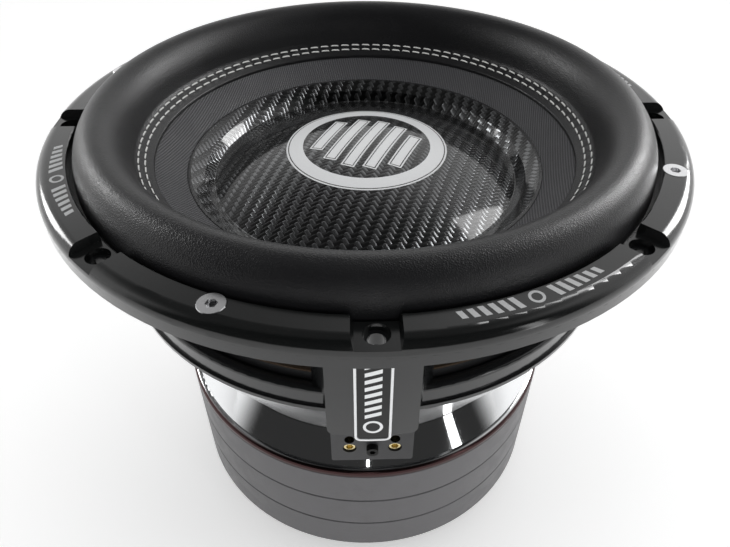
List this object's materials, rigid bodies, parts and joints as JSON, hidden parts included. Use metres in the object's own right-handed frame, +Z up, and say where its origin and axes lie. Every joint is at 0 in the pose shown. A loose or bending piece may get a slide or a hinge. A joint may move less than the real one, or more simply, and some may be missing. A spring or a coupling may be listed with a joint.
{
  "type": "car subwoofer speaker",
  "caption": "Long-throw car subwoofer driver: cast basket with wide spokes, gloss trim ring, stitched half-roll surround, carbon dust cap, chrome top plate and stacked ring magnets",
  "frame": {"origin": "centre of the back plate's lower face, where the driver rests on its magnet", "axes": "+Z up along the cone's travel axis; -Y is the front with the marked spoke and a terminal block"},
  "size_m": [0.316, 0.316, 0.2548],
  "materials": {
    "basket_black": "satin black powder coat on cast metal",
    "trim_gloss_black": "gloss black",
    "screw_steel": "zinc plated",
    "surround_foam": "satin black, fine speckle",
    "thread_white": "waxed white thread",
    "cone_black": "matt black woven texture",
    "carbon_cap": "clear coated twill weave",
    "glue_black": "semi gloss",
    "former_alu": "bare",
    "coil_copper": "enamelled wire",
    "spider_cloth": "impregnated cloth",
    "spacer_black": "moulded",
    "plate_chrome": "polished",
    "ferrite": "satin painted sintered ferrite",
    "yoke_black": "black plated steel",
    "screen_steel": "perforated, dark",
    "bolt_black": "black oxide",
    "terminal_black": "moulded",
    "terminal_brass": "bright",
    "lead_copper": "woven tinsel",
    "badge_plate": "printed dark field, bright rim"
  },
  "bodies": {
    "frame": {"basket": "basket_black", "trim_ring": "trim_gloss_black", "trim_ring_screws": "screw_steel", "surround": "surround_foam", "spider_upper": "spider_cloth", "spider_lower": "spider_cloth", "spider_spacer": "spacer_black", "top_plate": "plate_chrome", "magnet_upper": "ferrite", "magnet_middle": "ferrite", "magnet_lower": "ferrite", "yoke": "yoke_black", "shorting_ring": "former_alu", "vent_screen": "screen_steel", "basket_bolts": "bolt_black", "terminal_block_front": "terminal_black", "terminal_block_rear": "terminal_black", "contacts_front": "terminal_brass", "contacts_rear": "terminal_brass", "terminal_screws": "bolt_black", "lead_tabs": "terminal_brass", "lead_front_a": "lead_copper", "lead_front_b": "lead_copper", "lead_rear_a": "lead_copper", "lead_rear_b": "lead_copper", "badge_front": "badge_plate", "badge_rear": "badge_plate"},
    "cone_assembly": {"cone": "cone_black", "dust_cap": "carbon_cap", "cap_bead": "glue_black", "stitch_thread": "thread_white", "coil_former": "former_alu", "coil_inner": "coil_copper", "coil_outer": "coil_copper"},
    "screw_front_a": {"set_screw_front_a": "terminal_brass"},
    "screw_front_b": {"set_screw_front_b": "terminal_brass"},
    "screw_rear_a": {"set_screw_rear_a": "terminal_brass"},
    "screw_rear_b": {"set_screw_rear_b": "terminal_brass"}
  },
  "joints": [
    {"name": "cone_travel", "type": "slide", "parent": "frame", "child": "cone_assembly", "axis": [0, 0, 1], "range_m": [-0.02, 0.02], "stiffness_N_per_m": 9000, "deforming": ["surround", "spider_upper", "spider_lower", "lead_front_a", "lead_front_b", "lead_rear_a", "lead_rear_b"]},
    {"name": "screw_front_a_turn", "type": "hinge", "parent": "frame", "child": "screw_front_a", "pos_m": [-0.0105, -0.1265, 0.1396], "axis": [0, -1, 0], "range_deg": [0, 360]},
    {"name": "screw_front_b_turn", "type": "hinge", "parent": "frame", "child": "screw_front_b", "pos_m": [0.0105, -0.1265, 0.1396], "axis": [0, -1, 0], "range_deg": [0, 360]},
    {"name": "screw_rear_a_turn", "type": "hinge", "parent": "frame", "child": "screw_rear_a", "pos_m": [0.0105, 0.1265, 0.1396], "axis": [0, 1, 0], "range_deg": [0, 360]},
    {"name": "screw_rear_b_turn", "type": "hinge", "parent": "frame", "child": "screw_rear_b", "pos_m": [-0.0105, 0.1265, 0.1396], "axis": [0, 1, 0], "range_deg": [0, 360]}
  ]
}
